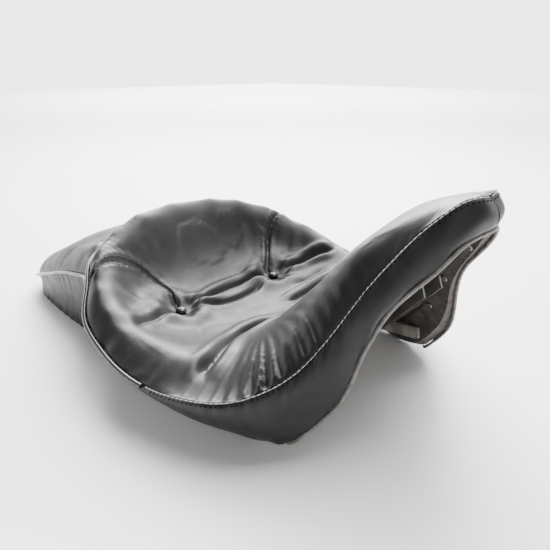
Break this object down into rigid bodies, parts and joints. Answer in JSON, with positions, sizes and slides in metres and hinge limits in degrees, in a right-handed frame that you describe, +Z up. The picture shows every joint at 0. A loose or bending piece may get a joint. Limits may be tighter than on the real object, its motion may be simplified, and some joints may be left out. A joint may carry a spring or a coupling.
{
  "type": "motorcycle seat",
  "caption": "Two-up motorcycle seat: deep buttoned rider bucket with a high nose, raised lumbar pad and a sloping pillion pad on a moulded pan with steel brackets.",
  "frame": {"origin": "bottom centre of the seat's bounding box, at the height of the surface it lies on", "axes": "+X towards the nose, +Y to the rider's left, +Z up; the seat lies as it rests on a table, nose raised"},
  "size_m": [0.649, 0.3878, 0.2226],
  "materials": {
    "cover": "glossy black coated leather, fine grain",
    "cover_side": "glossy black coated leather, fine grain",
    "piping": "glossy welt",
    "trim": "satin",
    "pan": "matt moulded",
    "foam": "open-cell foam",
    "button": "glossy covered button",
    "twine": "waxed",
    "washer": "matt",
    "bracket": "satin black",
    "fastener": "zinc plated",
    "buffer": "matt",
    "bar": "worn satin"
  },
  "bodies": {
    "root": {"seat_panel": "cover", "lumbar_panel": "cover", "side_band_left": "cover_side", "side_band_right": "cover_side", "pillion_top_panel": "cover", "pillion_band_left": "cover_side", "pillion_band_right": "cover_side", "bucket_piping": "piping", "pillion_piping": "piping", "hem_trim": "trim", "base_pan": "pan", "rider_foam": "foam", "lumbar_foam": "foam", "pillion_foam": "foam", "button_left": "button", "button_right": "button", "button_twine_left": "twine", "button_twine_right": "twine", "button_anchor_left": "washer", "button_anchor_right": "washer", "front_bracket": "bracket", "front_bracket_rivets": "fastener", "rear_bracket": "bracket", "rear_bracket_screws": "fastener", "front_buffers": "buffer", "rear_buffers": "buffer", "rest_bar_left": "bar", "rest_bar_right": "bar", "cover_rivets": "fastener"}
  },
  "joints": []
}
